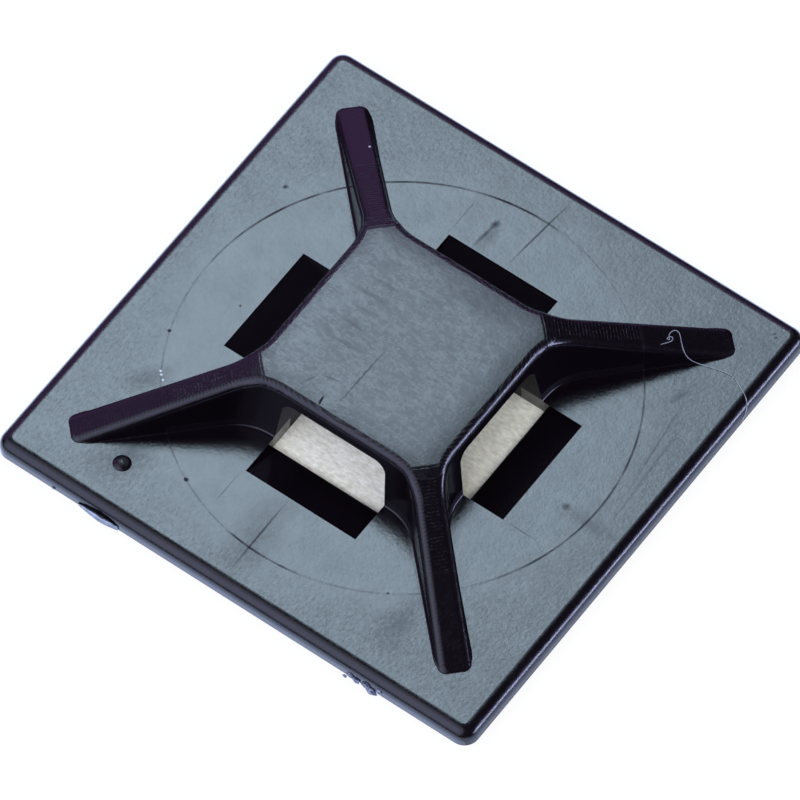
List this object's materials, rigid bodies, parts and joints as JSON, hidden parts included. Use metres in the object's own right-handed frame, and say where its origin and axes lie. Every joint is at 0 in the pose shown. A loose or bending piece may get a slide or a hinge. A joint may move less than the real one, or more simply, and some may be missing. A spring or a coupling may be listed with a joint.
{
  "type": "adhesive cable tie mount",
  "caption": "Square self-adhesive mount with a raised bridge on diagonal ribs; a cable tie passes under the bridge along either axis.",
  "frame": {"origin": "centre of the pad's flat underside, which sticks to the carrying surface", "axes": "+Z out of the carrying surface; the two tie tunnels run along X and along Y, the ribs along the diagonals"},
  "size_m": [0.0286, 0.0286, 0.0055],
  "materials": {
    "nylon": "satin-gloss black moulded plastic",
    "foam": "matt off-white foam tape"
  },
  "bodies": {
    "root": {"mount_body": "nylon", "adhesive_pad": "foam"}
  },
  "joints": []
}
